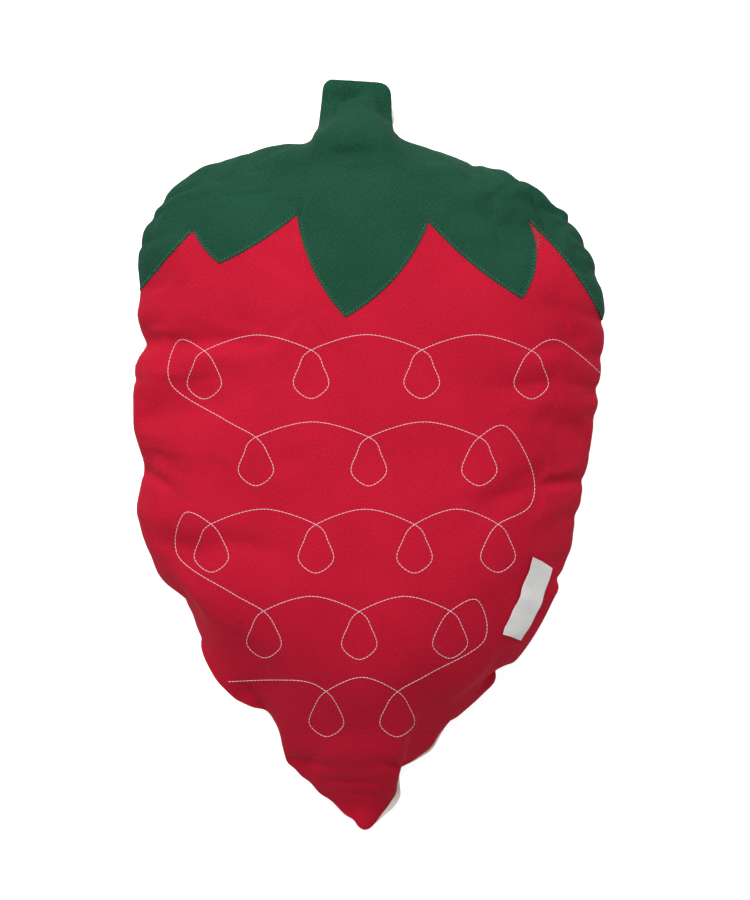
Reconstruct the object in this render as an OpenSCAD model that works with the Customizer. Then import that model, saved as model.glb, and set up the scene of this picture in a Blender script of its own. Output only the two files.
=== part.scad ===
// Strawberry cushion, lying on its back. A red front panel carries a green leaf cap with
// the stem, stitched seeds and a bare label. A plain back panel closes it, and fibre fills it.
// X runs across the berry, Y from its tip to its stem, and Z up from the table.

/* [Berry] */
// Width of the stuffed berry, seam to seam
berry_w = 375; // [300:1:450]
// Length of the berry, from its tip to the root of the stem
berry_l = 553; // [440:1:660]
// Height of the front crown above the seam
front_crown = 84; // [60:1:110]
// Depth of the back crown below the seam, before the table flattens it
back_crown = 62; // [54:1:80]
// Height of the seam above the table
seam_z = 46; // [30:1:50]
// Height of the seam at the tip, which sinks towards the table
tip_z = 10; // [8:1:20]

/* [Stem] */
// Width of the stem
stem_w = 57; // [44:1:70]
// Length of the stem past its root
stem_l = 46; // [36:1:60]
// Half thickness of the stem
stem_h = 15; // [8:1:20]
// Offset of the stem from the middle of the berry
stem_x = -11; // [-25:1:20]
// Radius of the stem's top corners
stem_corner_r = 9; // [8.5:0.5:14]
// How much lower the right top corner of the stem is
stem_slant = 6; // [0:1:8]
// Radius where the stem flares into the shoulders
root_r = 10; // [6:1:16]

/* [Cloth] */
// Thickness of the panel cloth
cloth_t = 0.8; // [0.4:0.1:1.5]
// Thickness of the leaf cap's cloth
cap_t = 0.8; // [0.4:0.1:1.5]
// Width of the seam allowance turned inside
seam_allowance = 7; // [4:0.5:8]
// Distance of the seam stitches from the rim
seam_inset = 2.5; // [1.8:0.1:3.5]
// Gap between layers that lie on each other
ease = 0.3; // [0.2:0.05:0.5]
// Gap between the panels and the fibre
fill_ease = 0.8; // [0.7:0.05:0.95]

/* [Leaves] */
// Drop of the left leaf's tip below the stem root
left_leaf_l = 103; // [88:1:120]
// Drop of the middle leaf's tip
middle_leaf_l = 146; // [112:1:160]
// Drop of the right leaf's tip
right_leaf_l = 131; // [102:1:140]
// Width of the zigzag stitch on the leaf edge
zigzag_w = 4; // [2.5:0.5:5]
// Length of one zigzag
zigzag_pitch = 3.2; // [2.6:0.2:5]

/* [Thread] */
// Thickness of the sewing thread
thread_d = 0.5; // [0.3:0.1:0.6]
// Thickness of the seed embroidery thread
seed_thread_d = 0.9; // [0.6:0.1:1.2]
// Length of a stitched seed loop
seed_l = 38; // [28:1:46]
// Width of a stitched seed loop
seed_w = 27; // [18:1:34]
// Rise of the stitched line between two seeds
seed_arch = 12; // [4:1:18]
// Length of the hand-sewn turning gap
gap_l = 84; // [50:1:110]
// Number of closing stitches along the gap
gap_stitches = 12; // [6:1:16]

/* [Label] */
// Width of the woven label, seen from above
label_w = 18; // [13:1:22]
// Length of the woven label
label_l = 64; // [45:1:80]
// Thickness of the woven label
label_t = 0.5; // [0.3:0.1:0.8]
// Lean of the label to the right
label_lean = 22; // [0:1:40]

/* [Hidden] */

red = "#b81c38";
green = "#2c5a44";
ecru = "#ded4c4";
white = "#f2ecea";

half_w = berry_w / 2;
cap_lift = ease + cap_t;
tip_y = -(berry_l + stem_l + cap_lift) / 2;
root_y = tip_y + berry_l;
stem_left = stem_x - stem_w / 2;
stem_right = stem_x + stem_w / 2;
stem_top = root_y + stem_l;
thread_r = thread_d / 2;
seed_thread_r = seed_thread_d / 2;

// A place on the berry, as shares of its half width and of its length from the tip
function at(place) = [place[0] * half_w, tip_y + place[1] * berry_l];

// The berry's outline from the left of the stem, round the tip, to the right of the stem
berry_shape = [
    [-0.34, 0.985], [-0.55, 0.975], [-0.75, 0.945], [-0.90, 0.90], [-0.975, 0.845],
    [-0.995, 0.74], [-1, 0.62], [-0.985, 0.47], [-0.93, 0.40], [-0.82, 0.34],
    [-0.71, 0.26], [-0.58, 0.19], [-0.42, 0.14], [-0.33, 0.095], [-0.185, 0.045],
    [-0.02, 0], [0.08, 0.04], [0.145, 0.09], [0.30, 0.14], [0.475, 0.195],
    [0.65, 0.255], [0.785, 0.335], [0.86, 0.42], [0.92, 0.51], [0.965, 0.61],
    [1, 0.715], [0.975, 0.79], [0.90, 0.855], [0.77, 0.91], [0.58, 0.95],
    [0.35, 0.975]];

// Smooth curve through points, with the given number of steps between two of them
function blend4(a, b, c, d, t) =
    (2 * b + (c - a) * t + (2 * a - 5 * b + 4 * c - d) * t ^ 2 + (3 * b - a - 3 * c + d) * t ^ 3) / 2;
function curve(points, steps) = let (last = len(points) - 1) concat(
    [for (i = [0 : last - 1], k = [0 : steps - 1])
        blend4(points[max(i - 1, 0)], points[i], points[i + 1], points[min(i + 2, last)], k / steps)],
    [points[last]]);
function arc(centre, r, from, to, steps) =
    [for (k = [0 : steps]) let (a = from + (to - from) * k / steps) centre + r * [cos(a), sin(a)]];

berry_points = concat(
    [[stem_left, root_y + root_r], [stem_left - 0.7 * root_r, root_y - 0.1 * root_r]],
    [for (place = berry_shape) at(place)],
    [[stem_right + 0.7 * root_r, root_y - 0.1 * root_r], [stem_right, root_y + root_r]]);
stem_points = concat(
    arc([stem_right - stem_corner_r, stem_top - stem_slant - stem_corner_r], stem_corner_r, 0, 83, 3),
    arc([stem_left + stem_corner_r, stem_top - stem_corner_r], stem_corner_r, 90, 180, 3));
outline = concat(curve(berry_points, 2), stem_points);
spokes = len(outline);

// Rings of the crown run round the hub. The inner rings are rounder than the outline.
hub = at([0, 0.62]);
rings = [0.2, 0.4, 0.56, 0.68, 0.77, 0.84, 0.9, 0.95, 0.985, 1];
round_tip = 0.86;

function unit(v) = v / norm(v);
function outward(i) = let (t = unit(outline[(i + 1) % spokes] - outline[(i + spokes - 1) % spokes]))
    [t[1], -t[0]];
normals = [for (i = [0 : spokes - 1]) outward(i)];
function grown(d) = [for (i = [0 : spokes - 1]) outline[i] + d * normals[i]];

// Reach of the round inner shape in one direction from the hub
function round_reach(way) = let (tall = way[1] < 0 ? round_tip * (hub[1] - tip_y) : root_y - hub[1])
    1 / norm([way[0] / half_w, way[1] / tall]);
function ring_place(edge, share) =
    let (full = norm(edge - hub), way = (edge - hub) / full, inner = round_reach(way))
    hub + share * (inner + (full - inner) * share ^ 4) * way;

// Share of the crown's height at a share of the way to the seam
crown_power = 2.8;
rim_power = 0.7;
function swell(share) = (1 - min(share, 1) ^ crown_power) ^ rim_power;
function on_stem(i) = outline[i][1] > root_y;
function root_share(p, d) = (p[1] - hub[1]) / (root_y + d - hub[1]);
// Height of a layer over the seam: on the stem's spokes the berry ends at the root, the stem goes on
function rise(i, share, p, d, crown) = on_stem(i)
    ? max((crown + d) * swell(root_share(p, d)), (stem_h + d) * sqrt(1 - share ^ 8))
    : (crown + d) * swell(share);

// Height of the seam: it is level, and sinks along the last part of the way to the tip
sinking_part = 0.34;
sinking_power = 1.25;
function to_tip(p) = max(0, min(1, 1 - (p[1] - tip_y) / (sinking_part * berry_l)));
function seam_at(p) = seam_z - (seam_z - tip_z) * to_tip(p) ^ sinking_power;

// One ring of points on a crown: d is how far the layer lies outside the panel's face, way is up
// or down, and least is the least height over the seam
function crown_ring(share, d, crown, way, least) = let (edge = grown(d))
    [for (i = [0 : spokes - 1]) let (p = ring_place(edge[i], share))
        [p[0], p[1], seam_at(p) + way * max(least, rise(i, share, p, d, crown))]];
function crown_rings(d, crown, way, least = 0) =
    [for (share = rings) crown_ring(share, d, crown, way, least)];
function flat_ring(d, up) = [for (p = grown(d)) [p[0], p[1], seam_at(p) + up]];
function reversed(list) = [for (i = [len(list) - 1 : -1 : 0]) list[i]];

// A solid skinned over rings that all run round the hub, closed at its first and last ring
module skin(ring_list, first_z, last_z) {
    count = len(ring_list);
    n = len(ring_list[0]);
    points = concat([for (ring = ring_list) each ring],
                    [[hub[0], hub[1], first_z], [hub[0], hub[1], last_z]]);
    first = count * n;
    faces = concat(
        [for (i = [0 : n - 1]) [first, (i + 1) % n, i]],
        [for (k = [0 : count - 2], i = [0 : n - 1]) let (j = (i + 1) % n)
            each [[k * n + i, k * n + j, (k + 1) * n + j], [k * n + i, (k + 1) * n + j, (k + 1) * n + i]]],
        [for (i = [0 : n - 1]) [first + 1, (count - 1) * n + i, (count - 1) * n + (i + 1) % n]]);
    polyhedron(points, faces);
}

// A panel: its crown, its seam allowance turned inside at the seam, and its inner face, which
// stays over the table
module panel(crown, way) {
    function kept_up(z) = max(z, cloth_t);
    inner = [for (ring = crown_rings(-cloth_t, crown, way, cloth_t))
        [for (p = ring) [p[0], p[1], kept_up(p[2])]]];
    shell = concat(crown_rings(0, crown, way),
                   [flat_ring(-seam_allowance, 0), flat_ring(-seam_allowance, way * cloth_t)],
                   reversed(inner));
    outer_z = seam_z + way * crown;
    inner_z = kept_up(seam_z + way * (crown - cloth_t));
    if (way > 0) skin(shell, outer_z, inner_z);
    else skin(reversed(shell), inner_z, outer_z);
}

module front_panel() {
    color(red) panel(front_crown, 1);
}

// The table presses the back panel flat where its crown would reach lower
module back_panel() {
    color(ecru) intersection() {
        panel(back_crown, -1);
        translate([-berry_w, -berry_l, 0]) cube([2 * berry_w, 2 * berry_l, 2 * seam_z]);
    }
}

// The fibre stops short of the seam allowances and of the stem, a little inside both panels
module stuffing() {
    inset = cloth_t + fill_ease;
    body = grown(-inset);
    stem_stop = 0.8;
    function facing(i) = max(0.3, unit(outline[i] - hub) * normals[i]);
    function stop(i) = min(on_stem(i) ? stem_stop : 1,
                           1 - (seam_allowance + fill_ease) / facing(i) / norm(outline[i] - hub));
    function fill_ring(share, crown, way) = [for (i = [0 : spokes - 1])
        let (reach = share * stop(i), p = ring_place(body[i], reach))
        [p[0], p[1], max(inset, seam_at(p) + way * rise(i, reach, p, -inset, crown))]];
    color(white) skin(
        concat([for (share = rings) fill_ring(share, front_crown, 1)],
               [for (share = reversed(rings)) fill_ring(share, back_crown, -1)]),
        seam_z + front_crown - inset, inset);
}

// Leaf line: leaf tips and the notches between them, as a share of the half width and a drop
// below the stem root, each with the bulge of the edge that leads to the next one
leaf_line = [
    [-1.02, 131, 0], [-0.74, 76, 2], [-0.626, left_leaf_l, 3], [-0.30, 64, 7],
    [-0.098, middle_leaf_l, 9], [0.25, 71, 4], [0.64, right_leaf_l, 9], [0.67, 67, -5], [1.03, 160, 0]];

function leaf_point(k) = [leaf_line[k][0] * half_w, root_y - leaf_line[k][1]];
function leaf_edge(k, steps) =
    let (a = leaf_point(k), b = leaf_point(k + 1), side = unit(b - a),
         mid = (a + b) / 2 + 2 * leaf_line[k][2] * [side[1], -side[0]])
    [for (i = [0 : steps - 1]) let (t = i / steps)
        (1 - t) ^ 2 * a + 2 * t * (1 - t) * mid + t ^ 2 * b];
leaf_end = len(leaf_line) - 1;

// The green cap: a second layer over the front crown, cut off along the leaf line
module leaf_cap() {
    reach = 2 * berry_l;
    edge = concat([for (k = [0 : leaf_end - 1]) each leaf_edge(k, 6)], [leaf_point(leaf_end)]);
    color(green) intersection() {
        skin(concat(crown_rings(cap_lift, front_crown, 1), reversed(crown_rings(ease, front_crown, 1))),
             seam_z + front_crown + cap_lift, seam_z + front_crown + ease);
        linear_extrude(seam_z + 2 * front_crown)
            polygon(concat(edge, [[berry_w, edge[len(edge) - 1][1]], [berry_w, reach],
                                  [-berry_w, reach], [-berry_w, edge[0][1]]]));
    }
}

// Height of the front panel's face over a place on the berry, between the rings around it
front_rings = [for (share = rings) [for (edge = outline) ring_place(edge, share) - hub]];
function over_spoke(i, v) =
    cross(outline[i] - hub, v) >= 0 && cross(v, outline[(i + 1) % spokes] - hub) > 0;
function ray_reach(a, b, way) = cross(a, b - a) / cross(way, b - a);
function face_z(p) =
    let (v = p - hub,
         i = [for (k = [0 : spokes - 1]) if (over_spoke(k, v)) k][0],
         j = (i + 1) % spokes,
         reach = [for (ring = front_rings) ray_reach(ring[i], ring[j], unit(v))],
         heights = concat([[0, seam_z + front_crown]], [for (k = [0 : len(rings) - 1])
             [reach[k], seam_at(hub + reach[k] * unit(v)) + front_crown * swell(rings[k])]]))
    lookup(norm(v), heights);
// A place lifted off the face by a distance that is measured square to its slope
function steep(p) = let (step = unit(p - hub)) norm([1, face_z(p) - face_z(p + step)]);
function on_face(p, up) = [p[0], p[1], face_z(p) + up * steep(p)];

// A thread swept along points, square in section
module thread(points, r, closed = false) {
    n = len(points);
    corners = 4;
    function ahead(i) = closed ? points[(i + 1) % n] : points[min(i + 1, n - 1)];
    function behind(i) = closed ? points[(i + n - 1) % n] : points[max(i - 1, 0)];
    rows = [for (i = [0 : n - 1])
        let (t = unit(ahead(i) - behind(i)), side = unit(cross(t, [0, 0, 1])), up = cross(side, t))
        [for (c = [0 : corners - 1]) let (a = 360 * c / corners)
            points[i] + r * (cos(a) * side + sin(a) * up)]];
    ends = closed ? [] : [reversed([for (c = [0 : corners - 1]) c]),
                          [for (c = [0 : corners - 1]) (n - 1) * corners + c]];
    faces = concat(
        [for (i = [0 : n - (closed ? 1 : 2)], c = [0 : corners - 1])
            let (j = (i + 1) % n, d = (c + 1) % corners)
            each [[i * corners + c, i * corners + d, j * corners + d],
                  [i * corners + c, j * corners + d, j * corners + c]]],
        ends);
    polyhedron([for (row = rows) each row], faces);
}

// The lockstitch of the seam lies on both seam allowances, just inside the rim
module seam_thread(way) {
    off_seam = cloth_t + ease / 2 + thread_r;
    color(red) thread(flat_ring(-seam_inset, way * off_seam), thread_r, closed = true);
}

module seam_needle_thread() {
    seam_thread(1);
}

module seam_bobbin_thread() {
    seam_thread(-1);
}

// Hand stitches over the seam on the left, where the cover was turned and filled
module closing_stitches() {
    bite = 5;
    middle = at([-1, 0.66]);
    column = [for (i = [0 : spokes - 1]) if (outline[i][0] < 0) [outline[i][1], outline[i][0]]];
    for (k = [0 : gap_stitches - 1]) {
        y = middle[1] + gap_l * (k / (gap_stitches - 1) - 0.5);
        color(white) translate([lookup(y, column) - thread_r - ease / 2, y, seam_z])
            cylinder(h = bite, r = thread_r, center = true, $fn = 24);
    }
}

// The zigzag stands on the leaf cap and reaches over its edge
module leaf_zigzag() {
    function steps(k) = max(4, round(norm(leaf_point(k + 1) - leaf_point(k)) / zigzag_pitch) * 2);
    line = [for (k = [0 : leaf_end - 1]) each leaf_edge(k, steps(k))];
    trim = 8;
    over_cap = 1.1 * cap_lift + ease + thread_r;
    points = [for (i = [trim : len(line) - trim])
        let (t = unit(line[i + 1] - line[i - 1]), side = (i % 2 - 0.5) * zigzag_w,
             p = line[i] + side * [t[1], -t[0]])
        on_face(p, over_cap)];
    color(green) thread(points, thread_r);
}

// Rows of seeds: the height of a row and the seeds across it, each a neck that a loop hangs from
seed_rows = [
    [0.69, [-0.69, -0.24, 0.22, 0.68]], [0.567, [-0.47, 0, 0.46]],
    [0.444, [-0.66, -0.22, 0.19, 0.54]], [0.321, [-0.44, -0.04, 0.34]], [0.205, [-0.18, 0.12]]];
seed_start = at([0.985, 0.66]);
seed_end = at([-0.6, 0.215]);
row_end = len(seed_rows) - 1;

// Rows run right to left and back in turn: way is -1 or 1
function row_way(k) = 2 * (k % 2) - 1;
function row_necks(k) = let (places = [for (x = seed_rows[k][1]) at([x, seed_rows[k][0]])])
    row_way(k) > 0 ? places : reversed(places);
function lifted(p, z) = [p[0], p[1], z];
// A loop leaves its neck, hangs down and comes back over the thread that it crosses
function seed_loop(neck, way, over) =
    [for (q = [[0, 0, 0], [0.36, 0.36, 0], [0.5, 0.74, 0], [0, 1, 0],
               [-0.5, 0.74, 0.2], [-0.36, 0.36, 0.6], [0, 0, 1]])
        lifted(neck + [way * q[0] * seed_w, -q[1] * seed_l], q[2] * over)];
function row_path(k, over) = let (necks = row_necks(k), way = row_way(k), last = len(necks) - 1)
    [for (i = [0 : last]) each concat(
        seed_loop(necks[i], way, over),
        i < last ? [lifted((necks[i] + necks[i + 1]) / 2 + [0, seed_arch], 0)] : [])];
// At the end of a row the line swings out, down, and back in to the next row
function row_turn(k) = let (way = row_way(k), necks = row_necks(k),
                            from = necks[len(necks) - 1], to = row_necks(k + 1)[0],
                            out = way > 0 ? max(from[0], to[0]) : min(from[0], to[0]))
    [for (p = [from + [way * 0.8 * seed_w, 0.22 * seed_l],
               [out + way * seed_w, 0.62 * from[1] + 0.38 * to[1]],
               to + [way * 0.95 * seed_w, 0.38 * seed_l]]) lifted(p, 0)];
last_neck = row_necks(row_end)[len(seed_rows[row_end][1]) - 1];
function seed_path(over) = concat(
    [lifted(seed_start, 0), lifted(row_necks(0)[0] + [0.8 * seed_w, 0.22 * seed_l], 0)],
    [for (k = [0 : row_end]) each concat(row_path(k, over), k < row_end ? row_turn(k) : [])],
    [lifted(last_neck + [-0.8 * seed_w, 0.22 * seed_l], 0), lifted(seed_end, 0)]);

// The embroidery: the white line on the face, and its bobbin stitches on the inside of the panel
function flat(p) = [p[0], p[1]];

module seed_thread() {
    path = curve(seed_path(1.5 * seed_thread_d), 3);
    lift = ease + seed_thread_r;
    color(white) thread([for (p = path) on_face(flat(p), p[2] + lift)], seed_thread_r);
}

module seed_bobbin_thread() {
    under = cloth_t + fill_ease / 2;
    path = curve(seed_path(0), 2);
    color(white) for (k = [0 : 2 : len(path) - 3])
        thread([on_face(flat(path[k]), -under), on_face(flat(path[k + 1]), -under)], thread_r / 2);
}

// The bare label lies on the face near the right side, leaning with the edge
label_place = at([0.67, 0.333]);
function label_point(u, v) = label_place
    + u * label_w * [cos(label_lean), -sin(label_lean)] + v * label_l * [sin(label_lean), cos(label_lean)];
label_low = 2 * ease;
label_high = label_low + label_t;

module woven_label() {
    across = 3;
    along = 8;
    n = (across + 1) * (along + 1);
    places = [for (j = [0 : along], i = [0 : across]) label_point(i / across - 0.5, j / along - 0.5)];
    low = [for (p = places) on_face(p, label_low)];
    high = [for (p = places) on_face(p, label_high)];
    function cell(i, j) = j * (across + 1) + i;
    top = [for (j = [0 : along - 1], i = [0 : across - 1]) each [
        [cell(i, j), cell(i + 1, j), cell(i + 1, j + 1)],
        [cell(i, j), cell(i + 1, j + 1), cell(i, j + 1)]]];
    rim = concat([for (i = [0 : across - 1]) cell(i, 0)], [for (j = [0 : along - 1]) cell(across, j)],
                 [for (i = [across : -1 : 1]) cell(i, along)], [for (j = [along : -1 : 1]) cell(0, j)]);
    sides = [for (k = [0 : len(rim) - 1]) let (a = rim[k], b = rim[(k + 1) % len(rim)])
        each [[a, b, n + b], [a, n + b, n + a]]];
    color(white) polyhedron(concat(low, high), concat([for (f = top) reversed(f)],
        [for (f = top) [for (i = f) n + i]], sides));
}

// A row of small stitches holds each short end of the label
module label_stitches() {
    stitches = 5;
    stitch_share = 0.11;
    hem = 0.465;
    stitch_r = thread_r / 2;
    up = label_high + ease + stitch_r;
    color(white) for (end = [-1, 1], k = [0 : stitches - 1]) {
        u = (k + 0.5) / stitches - 0.5;
        run = [for (s = [-0.5, 0, 0.5]) label_point(u + s * stitch_share, end * hem)];
        thread([for (p = run) on_face(p, up)], stitch_r);
    }
}

stuffing();
front_panel();
back_panel();
leaf_cap();
seam_needle_thread();
seam_bobbin_thread();
closing_stitches();
leaf_zigzag();
seed_thread();
seed_bobbin_thread();
woven_label();
label_stitches();
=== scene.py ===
import math

import bmesh
import bpy
import numpy as np
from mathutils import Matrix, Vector, noise
from mathutils.bvhtree import BVHTree


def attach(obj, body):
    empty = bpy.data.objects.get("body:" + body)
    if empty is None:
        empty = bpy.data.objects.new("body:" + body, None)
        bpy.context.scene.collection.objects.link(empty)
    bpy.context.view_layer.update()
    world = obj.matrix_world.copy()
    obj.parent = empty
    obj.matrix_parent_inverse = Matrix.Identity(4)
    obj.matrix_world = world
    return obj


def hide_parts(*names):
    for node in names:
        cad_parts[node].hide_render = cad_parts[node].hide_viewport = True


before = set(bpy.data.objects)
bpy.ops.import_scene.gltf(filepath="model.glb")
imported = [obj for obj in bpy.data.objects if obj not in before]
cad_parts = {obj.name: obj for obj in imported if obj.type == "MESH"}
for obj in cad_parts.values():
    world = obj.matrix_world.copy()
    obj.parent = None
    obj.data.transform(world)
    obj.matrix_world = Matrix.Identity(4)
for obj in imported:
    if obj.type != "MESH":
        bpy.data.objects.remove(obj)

# A strawberry cushion lying on its back: X across the berry, Y from its tip to its stem, Z up.
# Shapes are worked out in millimetres and turned into metres when a piece is made.
scene = bpy.context.scene
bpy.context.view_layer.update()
MM = 0.001

HALF_W = 187.5
LENGTH = 553.0
TIP_Y = -300.05
SEAM_Z = 46.0
FRONT_CROWN = 81.0
BACK_CROWN = 58.0
CLOTH = 0.8
ALLOWANCE = 7.0
# Where the stem grows out of the berry, and the line that the drops of the leaves are measured from
ROOT_Y = 259.6
LEAF_ROOT_Y = 252.95
# The flat cloth: its cell, its grid before it is fitted into the outline, and the share left of the stem
CELL = 4.0
GRID_W, GRID_L = 330, 430
LEFT_SHARE = 0.45

# The berry's outline from the stem's left, round the tip, to its right: shares of half width and length
BERRY_SHAPE = [
    (-0.34, 0.985), (-0.55, 0.975), (-0.75, 0.945), (-0.9, 0.9), (-0.975, 0.845), (-0.995, 0.74),
    (-1, 0.62), (-0.985, 0.47), (-0.93, 0.4), (-0.82, 0.34), (-0.71, 0.26), (-0.58, 0.19), (-0.42, 0.14),
    (-0.33, 0.095), (-0.185, 0.045), (-0.02, -0.009), (0.08, 0.04), (0.145, 0.09), (0.3, 0.14),
    (0.475, 0.195), (0.65, 0.255), (0.785, 0.335), (0.86, 0.42), (0.92, 0.51), (0.965, 0.61), (1, 0.715),
    (0.975, 0.79), (0.9, 0.855), (0.77, 0.91), (0.58, 0.95), (0.35, 0.975)]
# Where the seam is drawn in at a pucker, or swells: place, how far out, reach along the seam. A pucker is
# sharp where its reach is less than WIDE.
PUCKERS = [
    (-73, 244, 4, 26), (-62, 246, 2, 12), (-130, 228, 2, 16), (-150, 216, 2, 26), (-166, 201, -2.5, 8),
    (-176, 187, -3, 9), (-183, 165, -2.5, 6), (-186, 132, -3.5, 30), (-187, 91, -6, 26), (-187, 88, -4.5, 14),
    (-187, 61, -2, 12), (-187, -8, -6.5, 36), (-166, -93, 2.2, 16), (-154, -112, -5, 12),
    (-146, -130, -7.5, 30), (-138, -147, -3.5, 14), (-134, -155, -2, 30), (-113, -189, -2.4, 14),
    (-86, -216, -10, 34), (-87, -215, -3, 12), (-62, -248, 4.5, 10), (-52, -258, 3.5, 12),
    (-38, -272, 3.5, 13), (-11, -297, -4, 9), (-4, -305, 1, 6), (12, -283, 3, 13), (17, -273, 3.5, 8),
    (22, -260, -9, 9), (31, -246, 2.5, 10), (42, -236, 5, 18), (62, -217, -3, 10), (109, -173, -13, 12),
    (153, -98, -5, 8), (152, -107, 2, 8), (160, -73, 2.2, 14), (166, -49, -1.5, 10), (172, -20, -2.5, 9),
    (181, 40, 1.5, 10), (183, 53, -2, 8), (186, 76, -2, 10), (187, 105, -3, 10), (183, 137, -2, 9),
    (181, 143, -2.5, 8), (173, 164, -2.2, 7), (161, 184, -3.2, 8), (158, 189, 3, 8), (146, 202, -2.5, 9),
    (125, 217, 2, 30), (118, 221, -3, 8), (106, 226, 1.5, 12), (83, 234, -2, 10), (50, 244, 1, 26)]
WIDE = 25
# How far the seam lies outside the outline, and where that ends
SEAM_EASE, EASE_END, EASE_FADE = 2.2, 150, 40
# Places on the seam for the corners of the grid
UPPER_LEFT, LOWER_LEFT, LOWER_RIGHT, UPPER_RIGHT = (-150.4, 219.6), (-123, -176), (84, -197), (142.4, 203.6)
# The stem: its sides at the root and at the top, the height and slant of its top, the radii of its corners,
# its rows of cells as shares of its length, and the seam's turns from it into the shoulders
STEM_ROOT, STEM_END, STEM_TOP, STEM_SLANT = (-42.0, 20.5), (-37.6, 18.6), 300.5, 2.5
LEFT_CORNER, RIGHT_CORNER = 7.5, 10.5
STEM_ROWS = (0.16, 0.32, 0.48, 0.62, 0.75, 0.85, 0.93, 0.98, 1.0)
LEFT_TURN, RIGHT_TURN = (-3, -8), (7, -7.5)


def smooth_line(points, steps):
    """A smooth curve through points."""
    p = [Vector(point) for point in points]
    last = len(p) - 1
    line = []
    for i in range(last):
        a, b, c, d = p[max(i - 1, 0)], p[i], p[i + 1], p[min(i + 2, last)]
        for k in range(steps):
            t = k / steps
            line.append((2 * b + (c - a) * t + (2 * a - 5 * b + 4 * c - d) * t ** 2
                         + (3 * b - a - 3 * c + d) * t ** 3) / 2)
    return line + [p[last]]


def spaced(line, count):
    """Points along a line at equal distances, one more than count."""
    run = [0.0]
    for a, b in zip(line, line[1:]):
        run.append(run[-1] + (b - a).length)
    points, j = [], 0
    for k in range(count + 1):
        s = run[-1] * k / count
        while j < len(run) - 2 and run[j + 1] < s:
            j += 1
        points.append(line[j].lerp(line[j + 1], min(1, (s - run[j]) / max(1e-9, run[j + 1] - run[j]))))
    return points


def line_length(line):
    return sum((b - a).length for a, b in zip(line, line[1:]))


def cut_line(line, *places):
    """The line in pieces, cut at its points nearest to the places."""
    pieces, start = [], 0
    for place in places:
        i = min(range(start, len(line)), key=lambda k: (line[k] - Vector(place)).length)
        pieces.append(line[start:i + 1])
        start = i
    return pieces + [line[start:]]


def on_berry(across, along):
    """A place on the berry, from shares of its half width and of its length from the tip."""
    return Vector((across * HALF_W, TIP_Y + along * LENGTH))


def seam_line():
    """The puckered seam, from the stem's left, round the tip, to its right."""
    left, right = (Vector((x, ROOT_Y)) for x in stem_sides(0))
    line = smooth_line([left, left + Vector(LEFT_TURN), *(on_berry(*place) for place in BERRY_SHAPE),
                        right + Vector(RIGHT_TURN), right], 20)
    run = np.cumsum([0] + [(b - a).length for a, b in zip(line, line[1:])])
    out = np.array([SEAM_EASE * (1 - min(1, max(0, (p.y - EASE_END) / EASE_FADE))) for p in line])
    for x, y, swell, reach in PUCKERS:
        nearest = min(range(len(line)), key=lambda i: (line[i] - Vector((x, y))).length)
        t = np.clip(abs(run - run[nearest]) / reach, 0, 1)
        out += swell * ((1 - t) ** 2 if swell < 0 and reach < WIDE else (1 - t ** 2) ** 2)
    seam = []
    for i, p in enumerate(line):
        along = (line[min(i + 5, len(line) - 1)] - line[max(i - 5, 0)]).normalized()
        seam.append(p + Vector((along.y, -along.x)) * float(out[i]))
    seam[0], seam[-1] = left, right
    return seam


def rounded(corner, drop):
    """How far a side is drawn in at a drop below the top of a rounded corner."""
    return corner - math.sqrt(corner ** 2 - max(0, corner - drop) ** 2)


def stem_sides(t):
    """The left and right side of the stem at a share of its length."""
    left, right = (a + t * (b - a) for a, b in zip(STEM_ROOT, STEM_END))
    drop = (1 - t) * (STEM_TOP - ROOT_Y)
    return left + rounded(LEFT_CORNER, drop), right - rounded(RIGHT_CORNER, drop)


def flat_panel():
    """The front panel lying flat: a grid fitted into the seam line, with the stem grown out of its top."""
    shoulder_l, side_l, lower, side_r, shoulder_r = cut_line(
        seam_line(), UPPER_LEFT, LOWER_LEFT, LOWER_RIGHT, UPPER_RIGHT)
    nx, ny = round(GRID_W / CELL), round(GRID_L / CELL)
    stem_cells = round((STEM_ROOT[1] - STEM_ROOT[0]) / CELL)
    n_left = round((nx - stem_cells) * LEFT_SHARE)
    top = (spaced(shoulder_l[::-1], n_left)[:-1] + spaced([shoulder_l[0], shoulder_r[-1]], stem_cells)[:-1]
           + spaced(shoulder_r[::-1], nx - stem_cells - n_left))
    bottom, left, right = spaced(lower, nx), spaced(side_l, ny), spaced(side_r[::-1], ny)
    bm = bmesh.new()
    bmesh.ops.create_grid(bm, x_segments=nx, y_segments=ny, size=1)
    for v in bm.verts:
        u, w = (v.co.x + 1) / 2, (1 - v.co.y) / 2
        i, j = round(u * nx), round(w * ny)
        p = (1 - w) * top[i] + w * bottom[i] + (1 - u) * left[j] + u * right[j]
        p -= (1 - w) * ((1 - u) * top[0] + u * top[nx]) + w * ((1 - u) * bottom[0] + u * bottom[nx])
        v.co = p.to_3d()
    row = [v for v in bm.verts if v.is_boundary and abs(v.co.y - ROOT_Y) < CELL / 10]
    row.sort(key=lambda v: v.co.x)
    for t in STEM_ROWS:
        left_side, right_side = stem_sides(t)
        shares = [i / stem_cells for i in range(stem_cells + 1)]
        above = [bm.verts.new((left_side + u * (right_side - left_side),
                               ROOT_Y + t * (STEM_TOP - STEM_SLANT * u - ROOT_Y), 0)) for u in shares]
        for i in range(stem_cells):
            bm.faces.new((row[i], row[i + 1], above[i + 1], above[i]))
        row = above
    return bm


# Rounds in which the film comes to rest, and what each one keeps of the last height
FILM_ROUNDS, FILM_KEPT, FILM_MOVED, FILM_PRESSURE = 5000, 0.2, 0.8, 2


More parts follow.
